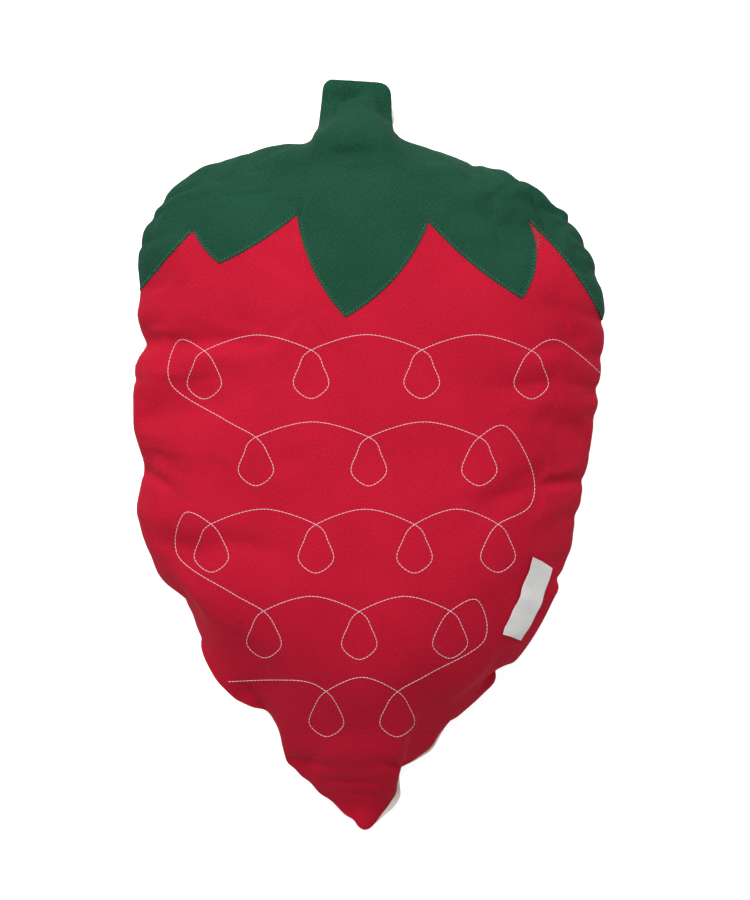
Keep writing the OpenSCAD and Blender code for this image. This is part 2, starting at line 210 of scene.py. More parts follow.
def crown_share(bm):
    """Height of a film blown up over the flat panel, as a share of its highest place, for each vertex."""
    bm.verts.index_update()
    n = len(bm.verts)
    on_seam = np.array([v.is_boundary for v in bm.verts])
    pairs = np.array([[v.index for v in e.verts] for e in bm.edges])
    pull = np.array([1 / e.calc_length() ** 2 for e in bm.edges])
    total = np.bincount(pairs[:, 0], pull, n) + np.bincount(pairs[:, 1], pull, n)
    height = np.zeros(n)
    for _ in range(FILM_ROUNDS):
        around = (np.bincount(pairs[:, 0], pull * height[pairs[:, 1]], n)
                  + np.bincount(pairs[:, 1], pull * height[pairs[:, 0]], n))
        height = np.where(on_seam, 0, FILM_KEPT * height + FILM_MOVED * (around + FILM_PRESSURE) / total)
    return height / height.max()


def link(name, data):
    obj = bpy.data.objects.new(name, data)
    scene.collection.objects.link(obj)
    return obj


def made(name, bm):
    """A mesh object from a bmesh in millimetres."""
    bmesh.ops.scale(bm, vec=(MM, MM, MM), verts=bm.verts)
    mesh = bpy.data.meshes.new(name)
    bm.to_mesh(mesh)
    bm.free()
    return link(name, mesh)


def applied(obj):
    """The object with its modifiers worked into its mesh."""
    mesh = bpy.data.meshes.new_from_object(obj.evaluated_get(bpy.context.evaluated_depsgraph_get()))
    obj.modifiers.clear()
    obj.data = mesh
    return obj


def thickened(obj, thickness, side):
    """A sheet given its thickness: to the side that its faces point to (1), to both (0) or away (-1)."""
    thick = obj.modifiers.new("cloth", "SOLIDIFY")
    thick.thickness = thickness * MM
    thick.offset = side
    return applied(obj)


def places_of(mesh):
    co = np.zeros(len(mesh.vertices) * 3, np.float32)
    mesh.vertices.foreach_get("co", co)
    return co.reshape(-1, 3).astype(float)


# The cover before it is filled: height of the front, its roundness, the back's share, waves of the seam
SEWN_HEIGHT, SEWN_POWER, SEWN_BACK = 66, 0.72, 0.72
SEAM_WAVE, WAVE_SCALE = 5, 0.02


def sew_cover():
    """Front and back panels joined along the seam, ready to be filled. Back faces have material index 1.
    All is made in a fixed order, because the simulation's folds depend on it."""
    flat = flat_panel()
    bm = bmesh.new()
    front, back, seam = [], [], []
    for v, share in zip(flat.verts, crown_share(flat)):
        place = Vector((v.co.x, v.co.y, SEWN_HEIGHT * share ** SEWN_POWER))
        front.append(bm.verts.new(place))
        if v.is_boundary:
            seam.append(front[-1])
            back.append(front[-1])
        else:
            back.append(bm.verts.new(place * Vector((1, 1, -SEWN_BACK))))
    for face in flat.faces:
        corners = [v.index for v in face.verts]
        bm.faces.new([front[i] for i in corners])
        bm.faces.new([back[i] for i in reversed(corners)]).material_index = 1
    flat.free()
    uv = bm.loops.layers.uv.new("cloth")
    for face in bm.faces:
        for loop in face.loops:
            loop[uv].uv = (loop.vert.co.x * MM, loop.vert.co.y * MM)
    for v in seam:
        v.co.z = SEAM_WAVE * noise.noise(Vector((v.co.x, v.co.y, 7.0)) * WAVE_SCALE)
    bm.verts.index_update()
    seam_index = [v.index for v in seam]
    cover = made("cover", bm)
    cover.vertex_groups.new(name="seam").add(seam_index, 1.0, "REPLACE")
    return cover


FILL_FRAMES = 25


def fill_cover(cover):
    """Cloth simulation: the cover swells, and puckers because its cloth is a little longer than its seam."""
    cloth = cover.modifiers.new("cloth", "CLOTH")
    s = cloth.settings
    s.quality = 6
    s.mass = 0.3
    s.tension_stiffness = s.compression_stiffness = 80
    s.shear_stiffness = 40
    s.bending_model = "ANGULAR"
    s.bending_stiffness = 0.5
    s.tension_damping = s.compression_damping = s.shear_damping = 10
    s.bending_damping = 2
    s.air_damping = 2
    s.vertex_group_mass = "seam"
    s.pin_stiffness = 1
    s.shrink_min = s.shrink_max = -0.05
    s.use_pressure = True
    s.uniform_pressure_force = 2
    s.effector_weights.gravity = 0
    cloth.collision_settings.use_collision = False
    cloth.point_cache.frame_start, cloth.point_cache.frame_end = 1, FILL_FRAMES
    for frame_number in range(1, FILL_FRAMES + 1):
        scene.frame_set(frame_number)
    applied(cover)
    scene.frame_set(1)


def smooth_step(low, high, x):
    t = np.clip((x - low) / (high - low), 0, 1)
    return t * t * (3 - 2 * t)


# How the middle sinks to the tip: from where, over what length, how far, how steeply. Also at the stem.
SINK_Y, SINK_L, TIP_SINK, SINK_POWER = -110, 190, 44, 1.25
STEM_SINK, STEM_SPAN = 8, (250, 300)
# Measures that change along Y: value in the middle, then steps as start, end and change. They are how square
# the crown is, its height, and how much of the sewn shape is kept.
SQUARENESS = (1.4, (40, 140, 0.2), (-120, -200, -0.2))
CROWN_HEIGHT = (1, (-180, -270, -0.35))
SEWN_KEPT = (0.25, (-60, -150, 0.45), (-200, -250, 0.2), (220, 250, 0.45))
# Where the rim is thin and curls up: place, half width, half length, rise, share of the thickness missing
CURLS = [(-108, -188, 46, 46, 18, 0.55), (148, -112, 32, 50, 9, 0.25)]
TABLE_SOFTNESS = 90


def seam_height(y):
    """Height of the middle of the cushion."""
    return (SEAM_Z - TIP_SINK * np.clip((SINK_Y - y) / SINK_L, 0, 1) ** SINK_POWER
            - STEM_SINK * smooth_step(*STEM_SPAN, y))


def along_y(measure, y):
    """A measure that changes along the cushion, at each Y."""
    value, *steps = measure
    for low, high, change in steps:
        value = value + change * smooth_step(low, high, y)
    return value


def settle(cover, start):
    """Brings the crowns to height and presses the underside flat on the table. The tip and the stem keep
    more of the shape that they were sewn to."""
    co = places_of(cover.data) / MM
    for shape in (co, start):
        y, z = shape[:, 1], shape[:, 2]
        up = np.clip(z / z.max(), 0, 1)
        crown = FRONT_CROWN * along_y(CROWN_HEIGHT, y)
        shape[:, 2] = np.where(z > 0, crown * (1 - (1 - up) ** along_y(SQUARENESS, y)),
                               z * BACK_CROWN / -z.min())
    co += (start - co) * along_y(SEWN_KEPT, co[:, 1])[:, None]
    y = co[:, 1]
    lift = seam_height(y)
    for place_x, place_y, half_w, half_l, rise, thinner in CURLS:
        near = np.exp(-((co[:, 0] - place_x) / half_w) ** 2 - ((y - place_y) / half_l) ** 2)
        co[:, 2] *= 1 - thinner * near
        lift += rise * near
    z = co[:, 2] + lift
    z = (z + np.sqrt(z ** 2 + TABLE_SOFTNESS)) / 2
    co[:, 2] = z - z.min()
    cover.data.vertices.foreach_set("co", (co * MM).ravel())
    cover.data.update()


# What is drawn smooth: below a line, with passes, and round a place, with reach and passes
CALM_BANDS = [(-50, 6), (-80, 14), (-110, 24)]
CALM_SPOTS = [(-52, 226, 30, 12), (27, 232, 24, 8)]


def smoothed(bm, verts, passes):
    for _ in range(passes):
        bmesh.ops.smooth_vert(bm, verts=verts, factor=0.5, use_axis_x=True, use_axis_y=True, use_axis_z=True)


def calm(cover):
    """Smooths away most of the folds that cross the lower part, and those at the spots."""
    bm = bmesh.new()
    bm.from_mesh(cover.data)
    inside = [v for v in bm.verts if len({f.material_index for f in v.link_faces}) == 1]
    for line, passes in CALM_BANDS:
        smoothed(bm, [v for v in inside if v.co.y < line * MM], passes)
    for x, y, reach, passes in CALM_SPOTS:
        smoothed(bm, [v for v in inside if (v.co.xy / MM - Vector((x, y))).length < reach], passes)
    bm.to_mesh(cover.data)
    bm.free()


# Dents pressed into the front: place, half length, half width, turn from the X axis, depth (swells below 0)
DENTS = [
    (-61, -4, 20, 10, 10, 1.6), (-98, -71, 26, 9, -12, 3), (-143, -75, 34, 12, -6, 4.5),
    (128, -18, 24, 9, 25, 2.6), (92, -44, 24, 10, 40, 2), (153, -82, 14, 8, 70, 2),
    (-103, -194, 22, 10, 40, 2.4), (-50, -249, 16, 7, 50, 2), (-3, -286, 34, 14, 0, 5),
    (-8, -238, 32, 13, 0, -3), (-10, -176, 80, 36, 0, -4), (-115, -128, 42, 25, -55, -6),
    (-90, -150, 50, 40, 0, -3), (-11, -264, 22, 3.5, -3, 3), (-7, -274, 14, 3.5, -8, 2.4),
    (-16, 288.5, 13, 4, 13, 8), (-31, 276, 10, 5, 62, 6), (13, 274, 12, 5, -58, 4.5)]
# Creases that run in from the seam: where they start and end, and their depth
CREASES = [
    (-148.8, -108.4, -125.6, -134, 4.5), (-181.6, 99.6, -160, 82, 3), (-177.6, -14, -147, -32, 3.2),
    (171.2, -18, 128, -25, 3), (183.2, 50, 165, 44, 2), (163.2, -46.8, 145, -52, 2),
    (102.4, -166, 86, -190, 3), (51.2, -222.8, 37, -227, 2), (24.8, -250.8, 2, -243, 3),
    (-84.8, -202, -105, -176, 2.2), (-63.2, -246, -19, -251, 2.5), (-181.6, 170, -163, 172, 2.5),
    (83.2, 231.6, 79, 212, 2), (160.8, 185.2, 143, 177, 2.2), (172.8, 163.6, 155, 159, 2.2)]
CREASE_WIDTH = 5.0
# The wedge that stands up below the stem: a place on each of its lines with the way into it, and its rise
WEDGE = [(-38.4, 257, 0.49, -0.87), (17.6, 264, -0.44, -0.9)]
WEDGE_RISE, WEDGE_SPAN = 8, (216, 250)


def press(cover):
    """Puts the dents, the creases and the wedge into the front. A crease is a furrow between low ridges."""
    mesh = cover.data
    co = places_of(mesh) / MM
    front = np.zeros(len(co))
    for face in mesh.polygons:
        if face.material_index == 0:
            front[list(face.vertices)] = 1
    normal = np.zeros(len(co) * 3, np.float32)
    mesh.vertex_normals.foreach_get("vector", normal)
    normal = normal.reshape(-1, 3)
    sunk = np.zeros(len(co))
    for x, y, along, across, turn, depth in DENTS:
        c, s = math.cos(math.radians(turn)), math.sin(math.radians(turn))
        dx, dy = co[:, 0] - x, co[:, 1] - y
        sunk += depth * np.exp(-((dx * c + dy * s) / along) ** 2 - ((dy * c - dx * s) / across) ** 2)
    for x0, y0, x1, y1, depth in CREASES:
        run = math.hypot(x1 - x0, y1 - y0)
        c, s = (x1 - x0) / run, (y1 - y0) / run
        dx, dy = co[:, 0] - x0, co[:, 1] - y0
        t, off = (dx * c + dy * s) / run, (dy * c - dx * s) / CREASE_WIDTH
        fade = smooth_step(-0.6, 0.1, t) * smooth_step(1.1, 0.3, t)
        sunk += depth * fade * (1.3 * np.exp(-off ** 2) - 0.4 * np.exp(-(off / 2.2) ** 2))
    wedge = np.minimum(*((co[:, 0] - x) * in_x + (co[:, 1] - y) * in_y for x, y, in_x, in_y in WEDGE))
    raised = WEDGE_RISE * smooth_step(-3, 1.5, wedge) * smooth_step(*WEDGE_SPAN, co[:, 1])
    facing_up = front * np.clip(1.5 * normal[:, 2], 0, 1)
    co -= normal * (sunk * facing_up)[:, None]
    co[:, 2] += raised * facing_up
    mesh.vertices.foreach_set("co", (co * MM).ravel())
    mesh.update()


def finer(cover):
    """One subdivision."""
    sub = cover.modifiers.new("finer", "SUBSURF")
    sub.levels = sub.render_levels = 1
    applied(cover)


# Places where the back cloth bulges out past the seam: place, reach, shift. It is whole at PEEK_DEPTH.
PEEKS = [(17, -279, 26, 4, -1.5), (48, -238, 28, 1.6, -1.4), (20, 270, 10, 3.5, 0)]
PEEK_DEPTH = 4
SEAM_DRAWN = 0.9


def draw_seam(cover):
    """The seam is drawn in a little, and in places the back bulges past it."""
    bm = bmesh.new()
    bm.from_mesh(cover.data)
    seam = {v for v in bm.verts if len({f.material_index for f in v.link_faces}) == 2}
    for x, y, reach, dx, dy in PEEKS:
        for v in bm.verts:
            if v.link_faces[0].material_index == 1 and v not in seam:
                away = math.hypot(v.co.x / MM - x, v.co.y / MM - y) / reach
                if away < 1:
                    below = min(1, max(0, (SEAM_Z - v.co.z / MM) / PEEK_DEPTH))
                    v.co += Vector((dx, dy, 0)) * MM * (1 - away ** 2) ** 2 * below
    for v in seam:
        v.co -= SEAM_DRAWN * MM * v.normal
    bm.to_mesh(cover.data)
    bm.free()


def half_cover(cover, index):
    """One side of the cover as a bmesh in millimetres."""
    bm = bmesh.new()
    bm.from_mesh(cover.data)
    bmesh.ops.delete(bm, geom=[f for f in bm.faces if f.material_index != index], context="FACES")
    bmesh.ops.scale(bm, vec=(1 / MM, 1 / MM, 1 / MM), verts=bm.verts)
    bm.normal_update()
    return bm


def seam_round(bm):
    """The seam's vertices in order, anticlockwise, and the level direction to the inside at each."""
    start = min((v for v in bm.verts if v.is_boundary), key=lambda v: v.co.y)
    order, last, now = [], None, start
    while now is not start or last is None:
        order.append(now)
        step = [e.other_vert(now) for e in now.link_edges if e.is_boundary]
        last, now = now, step[0] if step[0] is not last else step[1]
    n = len(order)
    if sum(a.co.x * b.co.y - a.co.y * b.co.x for a, b in zip(order, order[1:] + order[:1])) < 0:
        order.reverse()
    inward = []
    for i in range(n):
        along = (order[(i + 2) % n].co - order[i - 2].co).xy.normalized()
        inward.append(Vector((-along.y, along.x, 0)))
    return order, inward


def grown(bm, edges):
    """Grows a strip of faces from open edges: its new vertices, and its new open edges."""
    strip = bmesh.ops.extrude_edge_only(bm, edges=edges)["geom"]
    new = {g for g in strip if isinstance(g, bmesh.types.BMVert)}
    return new, [g for g in strip if isinstance(g, bmesh.types.BMEdge) and all(v in new for v in g.verts)]


# Near the panel's end at the tip less of the allowance is turned in
PANEL_END, NARROW_L, LEAST_TURN = -302, 40, 0.05
LAYER_GAP = 0.05


def turn_in(place):
    """How much of the allowance fits between the two sides of the seam: less at the narrow tip."""
    return min(1, max(LEAST_TURN, (place.y - PANEL_END) / NARROW_L))


def panel(name, cover, index):
    """A panel of the cover, as thick as its cloth, with its allowance turned inside at the seam."""
    bm = half_cover(cover, index)
    marks = bm.verts.layers.int.new("rim")
    bm.verts.index_update()
    rim, inward = seam_round(bm)
    way = 1 if index == 0 else -1
    edges = [e for e in bm.edges if e.is_boundary]
    for i, v in enumerate(rim):
        v[marks] = i
    for _ in range(2):
        new, edges = grown(bm, edges)
        for v in new:
            v.co += inward[v[marks]] * (ALLOWANCE / 2 * turn_in(v.co)) + Vector((0, 0, way * LAYER_GAP))
    bmesh.ops.recalc_face_normals(bm, faces=bm.faces)
    if sum(f.normal.z for f in bm.faces) * way < 0:
        bmesh.ops.reverse_faces(bm, faces=bm.faces)
    return thickened(made(name, bm), CLOTH, -1)


# The filling: how far it stays from the sides and from the cloth, its middle and its share of the length,
# its share of the height at its ends and what it has more elsewhere, where it ends, and how it tapers
FILL_SIDE, FILL_GAP = 10, 2.5
FILL_MIDDLE, FILL_LENGTH = -20, 0.92
END_HEIGHT, MORE_HEIGHT = 0.6, 0.335
FILL_END, TIP_TAPER, STEM_TAPER = 300, 120, 60
ROW_L, LEAST_HALF = 10, 12
# Heights in metres from which rays are cast on to the cushion
ABOVE, BELOW = 0.4, -0.1


def stuffed(cover):
    """The fibre: the cover's shape drawn in from the panels and from the seam allowances."""
    bm = bmesh.new()
    bm.from_mesh(cover.data)
    tree = BVHTree.FromBMesh(bm)
    bmesh.ops.scale(bm, vec=(1 / MM, 1 / MM, 1 / MM), verts=bm.verts)
    rows = {}
    for v in bm.verts:
        row = rows.setdefault(round(v.co.y / ROW_L), [0, 0])
        row[0], row[1] = min(row[0], v.co.x), max(row[1], v.co.x)
    for v in bm.verts:
        low, high = rows[round(v.co.y / ROW_L)]
        middle, half = (low + high) / 2, max(LEAST_HALF, (high - low) / 2)
        to_end = (v.co.y + FILL_END) / TIP_TAPER if v.co.y < 0 else (FILL_END - v.co.y) / STEM_TAPER
        v.co.x = middle + (v.co.x - middle) * (1 - min(0.5, FILL_SIDE / half))
        level = float(seam_height(v.co.y))
        v.co.y = FILL_MIDDLE + (v.co.y - FILL_MIDDLE) * FILL_LENGTH
        v.co.z = level + (v.co.z - level) * (END_HEIGHT + MORE_HEIGHT * min(1, max(0, to_end)))
    smoothed(bm, bm.verts, 3)
    for v in bm.verts:
        x, y = v.co.xy * MM
        top, _, _, _ = tree.ray_cast(Vector((x, y, ABOVE)), Vector((0, 0, -1)))
        bottom, _, _, _ = tree.ray_cast(Vector((x, y, BELOW)), Vector((0, 0, 1)))
        if top is not None and bottom is not None:
            room = min(FILL_GAP, (top.z - bottom.z) / MM / 3)
            v.co.z = min(max(v.co.z, bottom.z / MM + room), top.z / MM - room)
    return made("fibre_filling", bm)


# Tips and notches of the leaves: share of the half width, drop below the root, bulge of the edge to the next
LEAF_LINE = [
    (-1.02, 131, 0), (-0.74, 76, 2), (-0.626, 103, 3), (-0.3, 64, 7), (-0.098, 146, 9), (0.25, 71, 4),
    (0.64, 131, 9), (0.67, 67, -5), (1.03, 160, 0)]


def leaf_edge(k, steps):
    """Points along one edge of a leaf, from a tip or notch to the next."""
    a, b = (Vector((LEAF_LINE[i][0] * HALF_W, LEAF_ROOT_Y - LEAF_LINE[i][1])) for i in (k, k + 1))
    side = (b - a).normalized()
    bend = (a + b) / 2 + 2 * LEAF_LINE[k][2] * Vector((side.y, -side.x))
    shares = [i / steps for i in range(steps + 1)]
    return [(1 - t) ** 2 * a + 2 * t * (1 - t) * bend + t ** 2 * b for t in shares]


def leaf_line():
    """The lower edge of the leaf cap, from left to right."""
    edges = [leaf_edge(k, 14) for k in range(len(LEAF_LINE) - 1)]
    return [p for edge in edges for p in edge[:-1]] + [edges[-1][-1]]


def within(loop, places):
    """Which of the flat places lie inside a closed line."""
    x, y = places[:, 0], places[:, 1]
    inside = np.zeros(len(places), bool)
    for a, b in zip(loop, loop[1:] + loop[:1]):
        crossing = a.x + (y - a.y) * (b.x - a.x) / ((b.y - a.y) or 1)
        inside ^= ((a.y > y) != (b.y > y)) & (x < crossing)
    return inside


# Cutting the leaf cap: room below the longest leaf, how far a cut reaches past its stretch of the line, the
# cap's lift off the front, and a frame outside the cushion that closes the line
CAP_ROOM, CUT_PAST, CAP_LIFT = 12, 5, 0.15
FRAME_X, FRAME_Y = 240, 330


def sewn_cap(cover):
    """The leaf cap: a second layer on the front, cut along the leaf line."""
    bm = half_cover(cover, 0)
    low = LEAF_ROOT_Y - max(drop for _, drop, _ in LEAF_LINE) - CAP_ROOM
    bmesh.ops.delete(bm, geom=[f for f in bm.faces if f.calc_center_median().y < low], context="FACES")
    line = leaf_line()
    for a, b in zip(line, line[1:]):
        middle, reach = (a + b) / 2, (b - a).length / 2 + CUT_PAST
        near = [f for f in bm.faces if (f.calc_center_median().xy - middle).length < reach]
        around = dict.fromkeys(part for f in near for part in (*f.edges, *f.verts))
        across = Vector(((b - a).y, (a - b).x, 0))
        bmesh.ops.bisect_plane(bm, geom=[*near, *around], plane_co=a.to_3d(), plane_no=across)
    corners = [(FRAME_X, line[-1].y), (FRAME_X, FRAME_Y), (-FRAME_X, FRAME_Y), (-FRAME_X, line[0].y)]
    faces = list(bm.faces)
    kept = within([*line, *map(Vector, corners)], np.array([f.calc_center_median().xy for f in faces]))
    bmesh.ops.delete(bm, geom=[f for f, keep in zip(faces, kept) if not keep], context="FACES")
    bm.normal_update()
    for v in bm.verts:
        v.co += CAP_LIFT * v.normal
    return thickened(made("leaf_cloth", bm), CLOTH, 1)


class Face:
    """A surface that threads and the label are laid on."""

    def __init__(self, *objects):
        self.trees = []
        for obj in objects:
            bm = bmesh.new()
            bm.from_mesh(obj.data)
            self.trees.append(BVHTree.FromBMesh(bm))
            bm.free()

    def at(self, x, y, lift=0.0):
        """The place on the surface under or over a flat place, lifted off it, in millimetres."""
        best = None
        for tree in self.trees:
            hit, normal, _, _ = tree.ray_cast(Vector((x * MM, y * MM, ABOVE)), Vector((0, 0, -1)))
            if hit is not None and (best is None or hit.z > best[0].z):
                best = (hit, normal)
        if best is None:
            return None
        return best[0] / MM + best[1].normalized() * lift


def threads(name, runs, thickness, closed=False):
    """Threads as one piece. A run is a list of places with shares of the thickness, or None."""
    line = bpy.data.curves.new(name + "_line", "CURVE")
    line.dimensions = "3D"
    line.bevel_depth = thickness / 2 * MM
    line.bevel_resolution = 1
    line.use_fill_caps = not closed
    for run in filter(None, runs):
        spline = line.splines.new("POLY")
        spline.points.add(len(run) - 1)
        for point, (place, share) in zip(spline.points, run):
            point.co = (*(place * MM), 1)
            point.radius = share
        spline.use_cyclic_u = closed
    path = link(name + "_line", line)
    mesh = bpy.data.meshes.new_from_object(path.evaluated_get(bpy.context.evaluated_depsgraph_get()))
    bpy.data.objects.remove(path)
    mesh.name = name
    return link(name, mesh)


# A stitch: places along it, with shares of its rise and of its thickness. Its ends sink in.
STITCH = [(0, None, 0.6), (0.18, 0.7, 0.95), (0.5, 1, 1), (0.82, 0.7, 0.95), (1, None, 0.6)]


def laid(face, points):
    """A run of thread on a surface: flat places with lifts and widths. None where one is off the surface."""
    run = [(face.at(p.x, p.y, lift), width) for p, lift, width in points]
    return None if any(place is None for place, _ in run) else run


def stitch(face, a, b, rise, sink=0.25):
    """A stitch between two flat places: it comes out of the cloth, lies on it and goes in again."""
    return laid(face, [(a.lerp(b, t), -sink if share is None else share * rise, width)
                       for t, share, width in STITCH])


# Rows of stitched seeds: height of the row and seeds across it, as shares of the length and half width
SEED_ROWS = [
    (0.69, (-0.69, -0.24, 0.22, 0.68)), (0.567, (-0.47, 0, 0.46)), (0.444, (-0.66, -0.22, 0.19, 0.54)),
    (0.321, (-0.44, -0.04, 0.34)), (0.205, (-0.18, 0.12))]
SEED_W, SEED_L, SEED_ARCH = 27.0, 38.0, 12.0
SEED_LOOP = [(0, 0), (0.36, 0.36), (0.5, 0.74), (0, 1), (-0.5, 0.74), (-0.36, 0.36), (0, 0)]
SEED_START, SEED_END = (0.985, 0.66), (-0.6, 0.215)
SEED_STITCH, SEED_THREAD, BOBBIN_THREAD = 2.9, 0.52, 0.4
# The bobbin thread: places along a stitch, with depths under the cloth
BOBBIN = [(0, 0.05), (0.3, 0.3), (0.7, 0.3), (1, 0.05)]


def by_seed(neck, across, up):
    """A place beside the neck of a seed, by shares of a seed's width and length."""
    return neck + Vector((across * SEED_W, up * SEED_L))


def seed_line():
    """The stitched line: rows of hanging loops, run right to left and back in turn."""
    rows = []
    for k, (along, places) in enumerate(SEED_ROWS):
        way = 2 * (k % 2) - 1
        rows.append((way, [on_berry(x, along) for x in places[::way]]))
    points = [on_berry(*SEED_START), by_seed(rows[0][1][0], 0.8, 0.22)]
    for k, (way, necks) in enumerate(rows):
        for i, neck in enumerate(necks):
            points += [by_seed(neck, way * u, -v) for u, v in SEED_LOOP]
            if i + 1 < len(necks):
                points.append((neck + necks[i + 1]) / 2 + Vector((0, SEED_ARCH)))
        if k + 1 < len(rows):
            start, end = necks[-1], rows[k + 1][1][0]
            out = max(start.x, end.x) if way > 0 else min(start.x, end.x)
            points += [by_seed(start, way * 0.8, 0.22),
                       Vector((out + way * SEED_W, 0.62 * start.y + 0.38 * end.y)),
                       by_seed(end, way * 0.95, 0.38)]
    points += [by_seed(rows[-1][1][-1], -0.8, 0.22), on_berry(*SEED_END)]
    return smooth_line(points, 10)


def seed_threads(face):
    """The embroidered line on the front, and its bobbin thread on the inside of the cloth."""
    line = seed_line()
    holes = spaced(line, round(line_length(line) / SEED_STITCH))
    runs, under = [], []
    for a, b in zip(holes, holes[1:]):
        runs.append(stitch(face, a.lerp(b, 0.03), a.lerp(b, 0.97), 0.14))
        under.append(laid(face, [(a.lerp(b, t), -CLOTH - depth, 1) for t, depth in BOBBIN]))
    return threads("seed_line", runs, SEED_THREAD), threads("seed_line_bobbin", under, BOBBIN_THREAD)


# The zigzag: its step along the edge, how far out and in it goes and how unevenly, and the edge of the leaf
# line where it strays
ZIGZAG_STEP, ZIGZAG_OUT, ZIGZAG_IN, ZIGZAG_WOBBLE, ZIGZAG_THREAD = 1.5, 0.6, -2.8, 0.35, 0.34
STRAY_EDGE, STRAY, STRAY_FROM, STRAY_FADE = 6, 3.8, 0.6, 0.1


def zigzag(face):
    """The zigzag over the leaf edge. At the right notch it strays past the edge on to the red."""
    runs = []
    for k in range(len(LEAF_LINE) - 1):
        line = leaf_edge(k, 24)
        count = round(line_length(line) / ZIGZAG_STEP)
        points = spaced(line, count)
        for i in range(1, count - 1):
            a, b = points[i], points[i + 1]
            side = Vector(((b - a).y, -(b - a).x)).normalized()
            strayed = max(0, min(1, (i / count - STRAY_FROM) / STRAY_FADE)) if k == STRAY_EDGE else 0
            shift = STRAY * strayed + ZIGZAG_WOBBLE * noise.noise(Vector((a.x, a.y, 3.0)) * 0.6)
            over, inside = ZIGZAG_OUT + shift, ZIGZAG_IN + shift
            ends = (a + side * over, b + side * inside) if i % 2 else (a + side * inside, b + side * over)
            rise = 0.08 + 0.16 * noise.noise(Vector((a.x, a.y, 9.0)) * 0.08)
            runs.append(stitch(face, *ends, rise, 0.15))
    return threads("leaf_edge_zigzag", runs, ZIGZAG_THREAD)


# The label: size, lean, middle, how much shorter its right side is, and its bow
LABEL_W, LABEL_L, LABEL_LEAN = 26.0, 68.0, 22.0
LABEL_MIDDLE = (126.0, -115.0)
LABEL_SKEW, LABEL_BOW = 0.05, 0.13
# Its tape and cells, its lift off the cloth, where its hems start, what is turned under, waves and stitches
TAPE, LABEL_CELLS = 0.4, (12, 40)
LABEL_LIFT, HEM_LIFT, UNDER_LIFT = 0.5, 0.75, 0.45
HEM_START, HEM_SLOPE, TURNED = 0.36, 0.06, 0.085
LABEL_SWAY, LABEL_WAVE = 2.4, 0.5
LABEL_STITCHES, STITCH_LINE, HALF_STITCH, LABEL_THREAD = 7, 0.465, 0.058, 0.3


def walked(face, place, way, run):
    """The flat place that is reached by walking a given run on the cloth."""
    steps = max(1, math.ceil(abs(run) / 1.5))
    way = way * (1 if run >= 0 else -1)
    here = face.at(*place)
    for _ in range(steps):
        ahead = face.at(*(place + way))
        place = place + way * (abs(run) / steps / (ahead - here).length)
        here = face.at(*place)
    return place


def label_place(face, u, w):
    """A place on the label, by shares of its width and length from its middle, walked on the cloth."""
    c, s = math.cos(math.radians(LABEL_LEAN)), math.sin(math.radians(LABEL_LEAN))
    middle = walked(face, Vector(LABEL_MIDDLE), Vector((s, c)), w * LABEL_L)
    return walked(face, middle, Vector((c, -s)), (u + LABEL_BOW * (1 - 4 * w ** 2)) * LABEL_W)


def label_lift(w):
    """How far the label lies off the cloth at a share of its length: it is higher over its hems."""
    return LABEL_LIFT + HEM_LIFT * min(1, max(0, (abs(w) - HEM_START) / HEM_SLOPE))


def label_terms(u, w):
    """Terms of the smooth surface that the label follows."""
    return [1, u, w, u * u, u * w, w * w, u * w * w, w ** 3]


def woven_label(face):
    """The bare label: its short ends are turned under."""
    across, along = LABEL_CELLS
    bm = bmesh.new()
    bmesh.ops.create_grid(bm, x_segments=across, y_segments=along, size=0.5)
    uv = bm.loops.layers.uv.new("cloth")
    for f in bm.faces:
        for loop in f.loops:
            loop[uv].uv = (loop.vert.co.x * LABEL_W * MM, loop.vert.co.y * LABEL_L * MM)
    ends = [e for e in bm.edges if e.is_boundary and abs(e.verts[0].co.y - e.verts[1].co.y) < 1e-6]
    fold, edges = grown(bm, ends)
    turned, _ = grown(bm, edges)
    shares = [(i / across - 0.5, j / along - 0.5) for j in range(along + 1) for i in range(across + 1)]
    terms = np.array([label_terms(u, w) for u, w in shares])
    cloth = np.array([face.at(*label_place(face, u, w)) for u, w in shares])
    fit, *_ = np.linalg.lstsq(terms, cloth, rcond=None)
    under = (cloth - terms @ fit)[:, 2].max()
    for v in bm.verts:
        u, w = v.co.x, v.co.y
        lift = UNDER_LIFT if v in fold or v in turned else label_lift(w)
        if v in turned:
            w -= math.copysign(TURNED, w)
        w -= LABEL_SKEW * (u + 0.5) * (w + 0.5)
        p = Vector(np.array(label_terms(u, w)) @ fit) + Vector((0, 0, float(under) + lift))
        sway = Vector((noise.noise(Vector((u, w * 5, 1.5))), noise.noise(Vector((u, w * 5, 8.5))), 0))
        wave = LABEL_WAVE * noise.noise(Vector((u * 2, w * 6, 4.5)))
        v.co = p + sway * LABEL_SWAY + Vector((0, 0, wave))
    sunk = max(face.at(v.co.x, v.co.y).z + TAPE - v.co.z for v in bm.verts)
    bmesh.ops.translate(bm, verts=bm.verts, vec=(0, 0, max(0, sunk)))
    bmesh.ops.recalc_face_normals(bm, faces=bm.faces)
    if sum(f.normal.z for f in bm.faces) < 0:
        bmesh.ops.reverse_faces(bm, faces=bm.faces)
    return thickened(made("bare_label", bm), TAPE, 0)


def label_stitches(label, cloth):
    """The stitches along both hems of the label."""
    face = Face(label)
    runs = []
    for end in (-STITCH_LINE, STITCH_LINE):
        for k in range(LABEL_STITCHES):
            u = (k + 0.5) / LABEL_STITCHES - 0.5
            a, b = (label_place(cloth, u + half, end) for half in (-HALF_STITCH, HALF_STITCH))
            runs.append(stitch(face, a, b, 0.14, 0.1))
    return threads("label_hem_stitches", runs, LABEL_THREAD)


